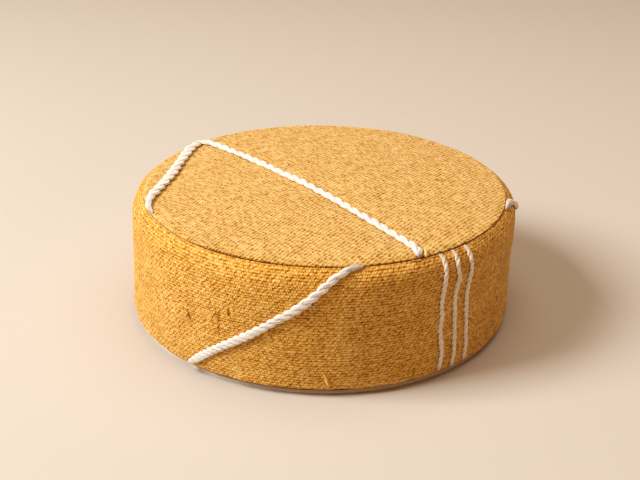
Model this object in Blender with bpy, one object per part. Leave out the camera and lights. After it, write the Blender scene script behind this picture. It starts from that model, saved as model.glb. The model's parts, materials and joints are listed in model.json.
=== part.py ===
"""Round floor pouf of woven wool, as a Blender 4.5 script.

The pouf is a low filled drum. A round top panel and an upright side band of heavy mustard wool
meet in a plain seam, and a canvas base closes the foot. White wool plaits and twisted cords are
sewn on as plain lines. The shape is as uneven as a stuffed pouf is: it leans a little, its seam
is lower at the right, and it is slightly out of round, most of all at its foot.

Units are metres, +Z is up and the front is -Y. The origin lies on the floor, under the middle of
the pouf's outline.
"""
import math

import bmesh
import bpy
import numpy as np

MM = 0.001

# Main sizes of the stuffed pouf
OUTER_RADIUS = 300 * MM
SEAM_RADIUS = 281 * MM
SEAM_HEIGHT = 193.6 * MM
TOP_PANEL_RADIUS = 280 * MM
CROWN_RISE = 12.5 * MM
EDGE_ROLL_RISE = 2 * MM
EDGE_ROLL_WIDTH = 9 * MM
EDGE_DROP = 80.0
BASE_CANVAS = 3 * MM
SEWN_GAP = 0.3 * MM

# How the stuffed shape departs from a true drum
FOOT_CENTRE = np.array((-7.1, 1.0)) * MM
LEAN = np.array((7.7, 2.4)) * MM
SEAM_TILT = -3.2 * MM
BELLY_OVAL = -0.006
BELLY_SLANT = 0.0067
SEAM_OVAL = -0.0059
FOOT_OVAL = -0.0151
LUMP = 0.7 * MM

# Fineness of the solids
SIDES_AROUND = 64
POINTS_PER_SPAN = 16

# The side band's outline, foot to seam
SIDE_OUTLINE = (
    # inset from the outer radius mm, height mm
    (16.0, 7.5),
    (9.0, 9.2),
    (2.4, 13.5),
    (2.1, 21.0),
    (1.7, 40.0),
    (1.6, 70.0),
    (2.0, 104.0),
    (1.5, 138.0),
    (2.2, 157.0),
    (3.1, 168.0),
    (5.2, 176.5),
    (9.9, 184.8),
    (15.3, 190.0),
    (18.3, 192.4),
    (19.4, 192.6),
    (20.4, 191.5),
)

# The canvas base's rim, from the floor up and over to its inner wall
RIM_OUTLINE = (
    # radius mm, height mm
    (288.4, 0.0),
    (289.3, 0.8),
    (289.3, 1.9),
    (288.0, 2.6),
    (287.8, 4.2),
    (286.8, 6.2),
    (284.6, 7.0),
    (281.8, 7.0),
    (281.5, 3.0),
)

# The long V on the top panel, from its front end round the corner at the back left
TOP_BRAID_ROUTE = (
    # x mm, y mm, both from the top panel's middle
    (127.8, -249.0),
    (126.9, -241.5),
    (123.8, -231.5),
    (114.8, -216.0),
    (88.8, -181.0),
    (56.4, -138.6),
    (22.4, -93.7),
    (-19.4, -41.2),
    (-69.6, 22.1),
    (-109.6, 74.0),
    (-137.1, 108.4),
    (-165.7, 143.0),
    (-180.3, 159.4),
    (-194.0, 168.6),
    (-206.4, 167.6),
    (-214.6, 156.2),
    (-221.0, 137.1),
    (-226.7, 110.0),
    (-232.7, 75.8),
    (-238.4, 40.5),
    (-248.6, -7.9),
    (-256.5, -38.0),
    (-261.0, -56.5),
    (-263.0, -74.2),
    (-262.0, -90.0),
    (-258.0, -104.0),
    (-253.4, -114.0),
)

# The plait across the front, from the seam down to the foot
FRONT_BRAID_ROUTE = (
    # angle degrees, height mm
    (-79.4, 192.4),
    (-81.2, 192.1),
    (-83.2, 190.6),
    (-85.2, 187.0),
    (-87.6, 181.0),
    (-90.7, 168.3),
    (-94.6, 149.2),
    (-98.6, 133.0),
    (-102.7, 118.0),
    (-107.0, 100.8),
    (-111.4, 85.0),
    (-116.2, 68.5),
    (-121.3, 49.6),
    (-125.8, 31.0),
    (-130.1, 13.6),
)

# The plait at the right and back: it comes out of the seam, bends over the edge and runs down
BACK_BRAID_ROUTE = (
    # angle degrees, height mm
    (-16.2, 192.3),
    (-13.8, 192.3),
    (-11.4, 191.6),
    (-9.6, 188.9),
    (-8.2, 185.0),
    (-6.4, 179.5),
    (-3.6, 173.0),
    (-0.2, 165.0),
    (4.0, 153.0),
    (8.6, 136.0),
    (13.4, 113.0),
    (18.4, 86.0),
    (23.2, 58.0),
    (27.6, 33.0),
    (31.2, 13.0),
)

# The three upright cords, as wavy as they were sewn
CORD_ROUTES = {
    # angle degrees, height mm
    "side_cord_1": (
        (-56.4, 192.5),
        (-55.9, 188.2),
        (-55.8, 181.0),
        (-55.7, 172.0),
        (-55.9, 161.0),
        (-56.2, 146.0),
        (-56.6, 129.5),
        (-56.4, 114.0),
        (-56.1, 102.0),
        (-56.4, 83.0),
        (-56.1, 68.0),
        (-55.7, 56.0),
        (-55.4, 44.0),
        (-55.6, 31.5),
        (-56.2, 15.5),
    ),
    "side_cord_2": (
        (-51.8, 192.5),
        (-51.4, 188.0),
        (-51.4, 179.0),
        (-51.4, 168.0),
        (-50.9, 156.5),
        (-51.4, 145.5),
        (-51.9, 133.0),
        (-51.9, 118.6),
        (-51.4, 103.0),
        (-51.3, 85.0),
        (-51.0, 65.0),
        (-50.9, 48.0),
        (-50.8, 37.0),
        (-51.1, 26.0),
        (-51.6, 14.6),
    ),
    "side_cord_3": (
        (-46.6, 192.5),
        (-46.4, 188.0),
        (-46.4, 178.0),
        (-46.1, 166.5),
        (-46.3, 154.0),
        (-46.8, 142.5),
        (-47.2, 128.0),
        (-46.9, 110.0),
        (-46.6, 90.0),
        (-46.4, 68.0),
        (-46.2, 50.0),
        (-46.1, 38.0),
        (-46.3, 27.0),
        (-46.9, 15.3),
    ),
}

# The two kinds of sewn trim: a lobe is one strand's bulge at the edge
PLAIT = {"width": 13.4 * MM, "height": 7.0 * MM, "lobe": 20.0 * MM, "steps_per_lobe": 6,
         "foot_points": 2, "bulge": 0.13, "end_taper": 26 * MM, "end_share": 0.3}
CORD = {"width": 7.0 * MM, "height": 5.0 * MM, "lobe": 11.0 * MM, "steps_per_lobe": 3,
        "foot_points": 0, "bulge": 0.12, "end_taper": 6 * MM, "end_share": 0.42}

# The trim's cross-section over the top, from its left foot to its right foot
TRIM_SECTION = (
    # across, share of half the width; height, share of the whole
    (-0.86, 0.00),
    (-1.00, 0.46),
    (-0.62, 0.90),
    (0.00, 1.00),
    (0.62, 0.90),
    (1.00, 0.46),
    (0.86, 0.00),
)

# Colours of the finishes, linear red, green and blue
MUSTARD_WOOL = (0.62, 0.31, 0.055)
WHITE_WOOL = (0.84, 0.80, 0.73)
TAUPE_CANVAS = (0.27, 0.21, 0.16)


def clear_scene():
    """Remove every object that the file holds."""
    for old in list(bpy.data.objects):
        bpy.data.objects.remove(old, do_unlink=True)


def finish(name, colour, roughness):
    """A plain woven finish: colour and roughness, no metal."""
    material = bpy.data.materials.new(name)
    material.use_nodes = True
    shader = material.node_tree.nodes["Principled BSDF"]
    shader.inputs["Base Color"].default_value = (*colour, 1.0)
    shader.inputs["Roughness"].default_value = roughness
    shader.inputs["Metallic"].default_value = 0.0
    return material


def closed_body(name, rings, material):
    """Join rings of points into one closed body with a flat face at each end, facing out."""
    count, sides, _ = rings.shape
    ring = np.arange(count - 1)[:, None] * sides
    here = np.arange(sides)
    following = (here + 1) % sides
    quads = np.stack((ring + here, ring + following, ring + following + sides, ring + here + sides), axis=-1)
    faces = quads.reshape(-1, 4).tolist()
    faces.append(list(range(sides)))
    faces.append(list(range((count - 1) * sides, count * sides)))
    mesh = bpy.data.meshes.new(name)
    mesh.from_pydata(rings.reshape(-1, 3).tolist(), [], faces)
    edit = bmesh.new()
    edit.from_mesh(mesh)
    bmesh.ops.recalc_face_normals(edit, faces=edit.faces)
    edit.to_mesh(mesh)
    edit.free()
    mesh.shade_smooth()
    mesh.set_sharp_from_angle(angle=math.radians(50))
    mesh.materials.append(material)
    body = bpy.data.objects.new(name, mesh)
    bpy.context.scene.collection.objects.link(body)
    return body


def smooth_line(points):
    """A curve through the points: cubic spans whose slopes are those of the points either side."""
    points = np.asarray(points, dtype=float)
    reach = np.concatenate(([0.0], np.cumsum(np.linalg.norm(np.diff(points, axis=0), axis=1))))
    slope = np.gradient(points, reach, axis=0)
    at = np.concatenate([np.linspace(a, b, POINTS_PER_SPAN, endpoint=False)
                         for a, b in zip(reach[:-1], reach[1:])] + [reach[-1:]])
    span = np.clip(np.searchsorted(reach, at, side="right") - 1, 0, len(reach) - 2)
    size = (reach[span + 1] - reach[span])[:, None]
    t = (at - reach[span])[:, None] / size
    start, end = points[span], points[span + 1]
    leave, arrive = slope[span] * size, slope[span + 1] * size
    return ((2 * t**3 - 3 * t**2 + 1) * start + (t**3 - 2 * t**2 + t) * leave
            + (3 * t**2 - 2 * t**3) * end + (t**3 - t**2) * arrive)


def even_steps(line, step):
    """The line's points again, at even distances of about one step, and their distances."""
    reach = np.concatenate(([0.0], np.cumsum(np.linalg.norm(np.diff(line, axis=0), axis=1))))
    at = np.linspace(0.0, reach[-1], int(round(reach[-1] / step)) + 1)
    return np.stack([np.interp(at, reach, column) for column in line.T], axis=1), at


def stuffed(angle, radius, height):
    """Where a point of the true drum lies on the leaning, tilted and uneven stuffed one."""
    rise = np.clip(height / SEAM_HEIGHT, 0.0, 1.0)
    belly = np.sin(math.pi * rise)
    across = BELLY_OVAL * belly
    slant = BELLY_SLANT * belly + SEAM_OVAL * rise * (1 - belly) + FOOT_OVAL * (1 - rise)**3
    oval = across * np.cos(2 * angle) + slant * np.sin(2 * angle)
    lumps = LUMP * belly * (np.sin(5 * angle + 0.6) + 0.6 * np.sin(8 * angle + 2.1)) * radius / OUTER_RADIUS
    out = radius * (1 + oval) + lumps
    along = out * np.cos(angle)
    x = FOOT_CENTRE[0] + LEAN[0] * rise + along
    y = FOOT_CENTRE[1] + LEAN[1] * rise + out * np.sin(angle)
    z = height + SEAM_TILT * rise * along / SEAM_RADIUS
    return np.stack((x, y, z), axis=-1)


def turned(rows):
    """Rings of the stuffed pouf from (radius, height) rows in metres."""
    angle = np.linspace(0.0, 2 * math.pi, SIDES_AROUND, endpoint=False)
    radius, height = np.asarray(rows).T
    return stuffed(angle[None, :], radius[:, None], height[:, None])


def side_rows():
    """The side band's outline as (radius, height) rows in metres."""
    inset, height = np.array(SIDE_OUTLINE).T * MM
    return np.stack((OUTER_RADIUS - inset, height), axis=1)


def crown_height(radius):
    """The top panel's height at a radius: a shallow dome plus a rounded edge.

    Past the edge the height drops with the square of the distance, as the side's shoulder does,
    so that trim can lie over the seam.
    """
    inward = np.clip((TOP_PANEL_RADIUS - radius) / EDGE_ROLL_WIDTH, 0.0, 1.0)
    roll = EDGE_ROLL_RISE * np.sqrt(1 - (1 - inward)**2)
    drop = EDGE_DROP * np.clip(radius - TOP_PANEL_RADIUS, 0.0, None)**2
    return SEAM_HEIGHT + roll + CROWN_RISE * (1 - (radius / TOP_PANEL_RADIUS)**2) - drop


def seat_rows():
    """The face that side trim lies on: the side's outline, then over the seam onto the top."""
    radius = np.array((279.5, 277.0, 273.0, 268.0, 260.0)) * MM
    return np.concatenate((side_rows()[:-2], np.stack((radius, crown_height(radius)), axis=1)))


SEAT_CURVE = smooth_line(seat_rows())
SEAT_RUN = np.concatenate(([0.0], np.cumsum(np.linalg.norm(np.diff(SEAT_CURVE, axis=0), axis=1))))


def side_surface(flat):
    """The outer face at (distance around, distance up the cloth) from the flat cloth."""
    radius = np.interp(flat[..., 1], SEAT_RUN, SEAT_CURVE[:, 0])
    height = np.interp(flat[..., 1], SEAT_RUN, SEAT_CURVE[:, 1])
    return stuffed(flat[..., 0] / OUTER_RADIUS, radius, height)


def top_surface(flat):
    """The top panel's face at (x, y) from the panel's middle."""
    radius = np.hypot(flat[..., 0], flat[..., 1])
    angle = np.arctan2(flat[..., 1], flat[..., 0])
    return stuffed(angle, radius, crown_height(radius))


def sewn_trim(name, surface, route, kind, material):
    """A plait or cord along a route on a surface: its section swells and narrows with each lobe.

    At every step the section lies square to the route on the flat cloth. Each of its points is
    taken to the surface and lifted from it by the section's height there. The left edge bulges
    where the right one narrows. The underside stays a sewn gap above the cloth, and follows its
    curve with the foot points that lie between the section's two feet.
    """
    line, run = even_steps(smooth_line(route), kind["lobe"] / kind["steps_per_lobe"])
    ahead = np.gradient(line, run, axis=0)
    ahead /= np.linalg.norm(ahead, axis=1, keepdims=True)
    left = np.stack((-ahead[:, 1], ahead[:, 0]), axis=1)
    wave = np.cos(2 * math.pi * run / kind["lobe"])
    to_end = np.minimum(run, run[-1] - run) / kind["end_taper"]
    taper = kind["end_share"] + (1 - kind["end_share"]) * np.sqrt(1 - (1 - np.clip(to_end, 0, 1))**2)
    drift = 1 + 0.05 * np.sin(2 * math.pi * run / (5.3 * kind["lobe"]) + 1.0)
    foot = np.linspace(TRIM_SECTION[-1][0], TRIM_SECTION[0][0], kind["foot_points"] + 2)[1:-1]
    side, rise = np.array(TRIM_SECTION + tuple((share, 0.0) for share in foot)).T
    swell = 1 + kind["bulge"] * wave[:, None] * np.sign(side)[None, :]
    across = 0.5 * kind["width"] * side[None, :] * swell * (taper * drift)[:, None]
    lift = SEWN_GAP + kind["height"] * rise[None, :] * swell * taper[:, None]
    flat = line[:, None, :] - left[:, None, :] * across[:, :, None]
    small = 0.5 * MM
    seat = surface(flat)
    along_x = surface(flat + (small, 0.0)) - surface(flat - (small, 0.0))
    along_y = surface(flat + (0.0, small)) - surface(flat - (0.0, small))
    normal = np.cross(along_x, along_y)
    normal /= np.linalg.norm(normal, axis=-1, keepdims=True)
    return closed_body(name, seat + normal * lift[:, :, None], material)


def side_route(rows):
    """A route of (angle, height) rows as (distance around, distance up the cloth)."""
    angle, height = np.array(rows).T
    run = np.interp(height * MM, SEAT_CURVE[:, 1], SEAT_RUN)
    return np.stack((np.radians(angle) * OUTER_RADIUS, run), axis=1)


def top_panel(material):
    """The crowned top, filled down to the seam."""
    share = np.array((0.998, 0.99, 0.97, 0.935, 0.87, 0.78, 0.66, 0.50, 0.32, 0.14))
    radius = share * TOP_PANEL_RADIUS
    rows = [(TOP_PANEL_RADIUS - 1.4 * MM, SEAM_HEIGHT - 1.8 * MM), (TOP_PANEL_RADIUS, SEAM_HEIGHT - 0.6 * MM)]
    rows += list(zip(radius, crown_height(radius)))
    return closed_body("top_panel", turned(rows), material)


def side_band(material):
    """The filled wall, with a step in its foot for the base's rim."""
    inner = RIM_OUTLINE[-1][0] * MM - SEWN_GAP
    rows = [(inner, BASE_CANVAS + SEWN_GAP), (inner + SEWN_GAP, SIDE_OUTLINE[0][1] * MM - 0.15 * MM)]
    rows += side_rows().tolist()
    return closed_body("side_band", turned(rows), material)


def base_panel(material):
    """The canvas base: a flat disc whose edge is turned up and over into a rim."""
    rows = np.array(RIM_OUTLINE) * MM
    return closed_body("base_panel", turned(rows), material)


clear_scene()
wool = finish("mustard_wool", MUSTARD_WOOL, 0.92)
top_panel(finish("mustard_wool_top", MUSTARD_WOOL, 0.92))
side_band(wool)
base_panel(finish("taupe_canvas", TAUPE_CANVAS, 0.85))
sewn_trim("top_braid", top_surface, np.array(TOP_BRAID_ROUTE) * MM, PLAIT,
          finish("white_wool_top", WHITE_WOOL, 0.9))
sewn_trim("side_braid_front", side_surface, side_route(FRONT_BRAID_ROUTE), PLAIT,
          finish("white_wool_front", WHITE_WOOL, 0.9))
sewn_trim("side_braid_back", side_surface, side_route(BACK_BRAID_ROUTE), PLAIT,
          finish("white_wool_back", WHITE_WOOL, 0.9))
cord_wool = finish("white_wool_cord", WHITE_WOOL, 0.9)
for cord_name, cord_rows in CORD_ROUTES.items():
    sewn_trim(cord_name, side_surface, side_route(cord_rows), CORD, cord_wool)
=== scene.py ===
"""Round floor pouf of heavy mustard wool, with white plaits and cords sewn on as plain lines.

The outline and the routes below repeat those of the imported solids. On them this script weaves,
plaits, twists and lights the surfaces.
Lengths are metres unless a name says otherwise, +Z is up and the front is -Y.
"""
import json
import math

import bpy
import numpy as np
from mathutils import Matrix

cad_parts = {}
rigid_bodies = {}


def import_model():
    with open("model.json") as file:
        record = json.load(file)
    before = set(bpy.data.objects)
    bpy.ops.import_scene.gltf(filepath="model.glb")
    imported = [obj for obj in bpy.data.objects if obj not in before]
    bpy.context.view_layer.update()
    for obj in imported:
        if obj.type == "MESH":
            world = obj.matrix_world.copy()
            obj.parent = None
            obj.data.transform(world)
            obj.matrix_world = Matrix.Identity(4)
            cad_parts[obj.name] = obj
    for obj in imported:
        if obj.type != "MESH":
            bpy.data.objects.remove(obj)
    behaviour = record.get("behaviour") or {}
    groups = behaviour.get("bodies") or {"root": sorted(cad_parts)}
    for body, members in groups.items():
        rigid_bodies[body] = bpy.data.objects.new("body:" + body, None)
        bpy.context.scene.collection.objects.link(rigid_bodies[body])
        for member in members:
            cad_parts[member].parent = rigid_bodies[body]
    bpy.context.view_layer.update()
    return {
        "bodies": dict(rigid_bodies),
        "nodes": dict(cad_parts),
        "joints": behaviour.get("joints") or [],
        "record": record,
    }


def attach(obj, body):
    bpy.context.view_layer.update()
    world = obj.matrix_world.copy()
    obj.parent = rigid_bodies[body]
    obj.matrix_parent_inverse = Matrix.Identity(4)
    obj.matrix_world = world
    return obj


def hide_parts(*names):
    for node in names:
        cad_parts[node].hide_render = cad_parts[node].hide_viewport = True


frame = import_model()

MM = 0.001

# Camera
# It stands where the photograph was taken: in front of the pouf and looking down at 25 degrees.
# The image is 640 pixels wide and the lens sees 1200 pixels to the radian.
IMAGE_WIDTH = 640
PIXELS_PER_RADIAN = 1200
CAMERA_PLACE = (-0.0065, -1.7252, 0.9154)
CAMERA_DOWN = math.radians(25.2)

camera_data = bpy.data.cameras.new("camera")
camera_data.sensor_width = 36.0
camera_data.lens = camera_data.sensor_width * PIXELS_PER_RADIAN / IMAGE_WIDTH
camera = bpy.data.objects.new("camera", camera_data)
camera.location = CAMERA_PLACE
camera.rotation_euler = (math.pi / 2 - CAMERA_DOWN, 0.0, 0.0)
bpy.context.scene.collection.objects.link(camera)
bpy.context.scene.camera = camera

# Side band
# One strip of thick handwoven wool, sewn to the top panel at the seam and to the canvas at the
# foot, then stuffed until it stands as a wall. Its plain weave has 4 mm threads of uneven spin,
# so every crossing is a small nub and some threads swell into slubs.
OUTER_RADIUS = 300 * MM
SEAM_RADIUS = 281 * MM
SEAM_HEIGHT = 193.6 * MM
FOOT_CENTRE = np.array((-7.1, 1.0)) * MM
LEAN = np.array((7.7, 2.4)) * MM
SEAM_TILT = -3.2 * MM
BELLY_OVAL = -0.006
BELLY_SLANT = 0.0067
SEAM_OVAL = -0.0059
FOOT_OVAL = -0.0151
LUMP = 0.7 * MM
SIDE_OUTLINE = (
    # inset from the outer radius mm, height mm
    (16.0, 7.5),
    (9.0, 9.2),
    (2.4, 13.5),
    (2.1, 21.0),
    (1.7, 40.0),
    (1.6, 70.0),
    (2.0, 104.0),
    (1.5, 138.0),
    (2.2, 157.0),
    (3.1, 168.0),
    (5.2, 176.5),
    (9.9, 184.8),
    (15.3, 190.0),
    (18.3, 192.4),
    (19.4, 192.6),
    (20.4, 191.5),
)
FOOT_STEP = (
    # radius mm, height mm, from the canvas up to the cloth's lowest point
    (281.2, 3.3),
    (281.4, 7.4),
)
SIDE_MARKS = (
    # angle degrees, distance up the cloth mm, half width mm, half length mm, lean degrees, depth
    (-128.65, 95.0, 1.5, 5.0, 29, 22.0),
    (-115.75, 120.1, 1.5, 5.5, 10, 16.0),
    (-118.75, 99.5, 1.4, 21.0, 0, 7.0),
    (-27.5, 75.6, 1.9, 2.6, 0, 22.0),
    (-164.7, 60.0, 1.8, 1.8, 0, 12.0),
)
THREAD = 4.05 * MM
SIDE_THREADS_AROUND = 464
SIDE_SLANT = 0.25
SIDE_RELIEF = 0.85 * MM
SLUB_RISE = 1.1 * MM
KNOT_RISE = 2.0 * MM
SEAM_PAINTED_SHADE = 8.0
FOOT_PAINTED_SHADE = 10.0
POINTS_PER_SPAN = 16


def smooth_line(points):
    """A curve through the points: each span is a cubic whose end slopes come from its neighbours."""
    points = np.asarray(points, dtype=float)
    reach = np.concatenate(([0.0], np.cumsum(np.linalg.norm(np.diff(points, axis=0), axis=1))))
    slope = np.gradient(points, reach, axis=0)
    at = np.concatenate([np.linspace(a, b, POINTS_PER_SPAN, endpoint=False)
                         for a, b in zip(reach[:-1], reach[1:])] + [reach[-1:]])
    span = np.clip(np.searchsorted(reach, at, side="right") - 1, 0, len(reach) - 2)
    size = (reach[span + 1] - reach[span])[:, None]
    t = (at - reach[span])[:, None] / size
    start, end = points[span], points[span + 1]
    leave, arrive = slope[span] * size, slope[span + 1] * size
    return ((2 * t**3 - 3 * t**2 + 1) * start + (t**3 - 2 * t**2 + t) * leave
            + (3 * t**2 - 2 * t**3) * end + (t**3 - t**2) * arrive)


def distance_along(line):
    """The distance from a line's first point to each of its points."""
    return np.concatenate(([0.0], np.cumsum(np.linalg.norm(np.diff(line, axis=0), axis=1))))


def stuffed(angle, radius, height):
    """Where a point of the true drum lies on the stuffed pouf.

    The middle moves sideways with height. The radius gains two waves around, of sizes that change
    from foot to seam, and a few lumps at mid height. The height drops towards +X in proportion.
    """
    rise = np.clip(height / SEAM_HEIGHT, 0.0, 1.0)
    belly = np.sin(math.pi * rise)
    across = BELLY_OVAL * belly
    slant = BELLY_SLANT * belly + SEAM_OVAL * rise * (1 - belly) + FOOT_OVAL * (1 - rise)**3
    oval = across * np.cos(2 * angle) + slant * np.sin(2 * angle)
    lumps = LUMP * belly * (np.sin(5 * angle + 0.6) + 0.6 * np.sin(8 * angle + 2.1)) * radius / OUTER_RADIUS
    out = radius * (1 + oval) + lumps
    along = out * np.cos(angle)
    x = FOOT_CENTRE[0] + LEAN[0] * rise + along
    y = FOOT_CENTRE[1] + LEAN[1] * rise + out * np.sin(angle)
    z = height + SEAM_TILT * rise * along / SEAM_RADIUS
    return np.stack((x, y, z), axis=-1)


def lifted(surface, flat, lift):
    """Points of a surface at flat cloth places, raised square to it by lift.

    The normal is the cross product of the surface's two slopes, each a difference over 1 mm.
    """
    small = 0.5 * MM
    along_x = surface(flat + (small, 0.0)) - surface(flat - (small, 0.0))
    along_y = surface(flat + (0.0, small)) - surface(flat - (0.0, small))
    normal = np.cross(along_x, along_y)
    normal /= np.linalg.norm(normal, axis=-1, keepdims=True)
    return surface(flat) + normal * np.asarray(lift)[..., None]


def cloud(u, v, size_u, size_v, seed, around=None):
    """Soft random values from -1 to 1: random numbers on a lattice, blended by smooth weights.

    u and v are in threads. With around, the lattice repeats after that many threads of u.
    """
    lattice = np.random.default_rng(seed).uniform(-1.0, 1.0, (256, 256))
    period = 256 if around is None else max(1, int(round(around / size_u)))
    along = u * period / around if around is not None else u / size_u
    across = v / size_v
    i, j = np.floor(along).astype(int), np.floor(across).astype(int)
    s, t = along - i, across - j
    s, t = s * s * (3 - 2 * s), t * t * (3 - 2 * t)
    corner = [[lattice[(i + a) % period % 256, (j + b) % 256] for b in (0, 1)] for a in (0, 1)]
    low = corner[0][0] * (1 - s) + corner[1][0] * s
    high = corner[0][1] * (1 - s) + corner[1][1] * s
    return low * (1 - t) + high * t


def thread_crowns(u, v, slant):
    """Height of the weave, 0 to 1, at (u, v) in threads.

    Rows of nubs: a squared sine across the rows, times a part that dips between the nubs of a
    row. Each row's nubs sit half a step on from those of the row below. The yarn's slant joins
    every other nub into a ridge: a raised cosine of u - v, which swells with the cosine of
    u + v. The two are mixed by the share called slant.
    """
    rows = np.sin(math.pi * v)**2 * (0.45 + 0.55 * np.sin(math.pi * (u + 0.5 * np.floor(v)))**2)
    ridges = (0.5 + 0.5 * np.cos(math.pi * (u - v))) * (0.8 - 0.2 * np.cos(math.pi * (u + v)))
    return (1 - slant) * rows + slant * ridges


def nub_spin(u, v, seed, around=None):
    """One random value from -1 to 1 for each nub, blended between neighbours."""
    return cloud(u - 0.5, v - 0.5, 1.0, 1.0, seed, around)


def cloth_relief(u, v, slant, relief, around, seed):
    """How far the cloth's threads stand out: crowns of uneven height, slubs, knots and soft lumps."""
    uneven = 1 + 0.45 * nub_spin(u, v, seed, around) + 0.35 * cloud(u, v, 9.0, 5.0, seed + 1, around)
    slub = np.clip(cloud(u, v, 6.0, 1.5, seed + 2, around) - 0.42, 0.0, 1.0)
    knot = np.clip(cloud(u, v, 2.0, 2.0, seed + 3, around) - 0.62, 0.0, 1.0)
    crowns = thread_crowns(u, v, slant)
    dents = 0.45 * MM * cloud(u, v, 5.0, 4.0, seed + 4, around)
    dents += 0.4 * MM * cloud(u, v, 14.0, 11.0, seed + 5, around)
    return relief * crowns * uneven + SLUB_RISE * slub + KNOT_RISE * knot + dents


def wandering(u, v, seed, around=None):
    """How far the threads stray from their straight places, in threads, along u and along v."""
    stray_u = 0.16 * cloud(u, v, 1.0, 22.0, seed, around) + 0.9 * cloud(u, v, 45.0, 30.0, seed + 1, around)
    stray_v = 0.2 * cloud(u, v, 26.0, 1.0, seed + 2, around) + 0.9 * cloud(u, v, 38.0, 42.0, seed + 3, around)
    return stray_u, stray_v


def cloth_marks(flat, rows):
    """How much darker the cloth's own specks and slits make it, and the painted shade in its creases: a bell
    over each row's ellipse.

    The first column is turned into a distance along the cloth, and wraps round the wall.
    """
    dark = np.zeros(flat.shape[:-1])
    for x, y, half_width, half_length, lean, depth in rows:
        girth = 2 * math.pi * OUTER_RADIUS
        aside = (flat[..., 0] - x + girth / 2) % girth - girth / 2
        above = flat[..., 1] - y
        lean = math.radians(lean)
        across = (aside * math.cos(lean) + above * math.sin(lean)) / (half_width * MM)
        along = (above * math.cos(lean) - aside * math.sin(lean)) / (half_length * MM)
        dark += depth * np.exp(-across**2 - along**4)
    return dark


def new_piece(name, points, faces, corner_uv, material, spin_and_painted_shade=None):
    """A mesh object at the origin, shaded smooth, whose UV map is in metres of flat cloth.

    Its last argument holds one number for each vertex: how thick the yarn is and the cloth's own dark
    specks, less painted shade at the seam, the top's rolled edge, the foot and the creases. The wool's colour
    reads it.
    """
    mesh = bpy.data.meshes.new(name)
    mesh.from_pydata(points.reshape(-1, 3).tolist(), [], faces)
    layer = mesh.uv_layers.new(name="cloth")
    layer.data.foreach_set("uv", np.asarray(corner_uv, dtype=np.float32).reshape(-1))
    if spin_and_painted_shade is not None:
        values = np.zeros(len(mesh.vertices), dtype=np.float32)
        values[len(values) - spin_and_painted_shade.size:] = spin_and_painted_shade.ravel()
        mesh.attributes.new("spin_and_painted_shade", "FLOAT", "POINT").data.foreach_set("value", values)
    mesh.shade_smooth()
    mesh.materials.append(material)
    piece = bpy.data.objects.new(name, mesh)
    bpy.context.scene.collection.objects.link(piece)
    return piece


def ring_faces(rows, columns, start=0):
    """Quads of a grid that closes on itself along its columns, row after row."""
    row = np.arange(rows - 1)[:, None] * columns + start
    here = np.arange(columns)
    after = (here + 1) % columns
    quads = np.stack((row + here, row + after, row + after + columns, row + here + columns), axis=-1)
    return quads.reshape(-1, 4)


def ring_uv(u, v):
    """Corner UVs of ring_faces: u and v are rows by columns + 1, so the last column isn't folded back."""
    uv = np.stack((u, v), axis=-1)
    return np.stack((uv[:-1, :-1], uv[:-1, 1:], uv[1:, 1:], uv[1:, :-1]), axis=2).reshape(-1, 2)


def linear(hex_colour):
    """An sRGB hex colour as linear red, green, blue and a full alpha."""
    srgb = np.array([int(hex_colour[k:k + 2], 16) for k in (1, 3, 5)]) / 255
    return (*np.where(srgb <= 0.04045, srgb / 12.92, ((srgb + 0.055) / 1.055)**2.4), 1.0)


def add_node(tree, kind, inputs, output=0, **settings):
    """Add one node with its settings. Inputs are values or the sockets that feed them. Its output socket."""
    node = tree.nodes.new(kind)
    for key, value in settings.items():
        setattr(node, key, value)
    for key, value in inputs.items():
        if isinstance(value, bpy.types.NodeSocket):
            tree.links.new(value, node.inputs[key])
        else:
            node.inputs[key].default_value = value
    return node.outputs[output]


def new_material(name, roughness, sheen, sheen_tint):
    """A material with a dull Principled shader whose raised fibres give a soft sheen."""
    material = bpy.data.materials.new(name)
    material.use_nodes = True
    shader = material.node_tree.nodes["Principled BSDF"]
    shader.inputs["Roughness"].default_value = roughness
    shader.inputs["Specular IOR Level"].default_value = 0.18
    shader.inputs["Sheen Weight"].default_value = sheen
    shader.inputs["Sheen Roughness"].default_value = 0.55
    shader.inputs["Sheen Tint"].default_value = sheen_tint
    return material, material.node_tree, shader


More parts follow.
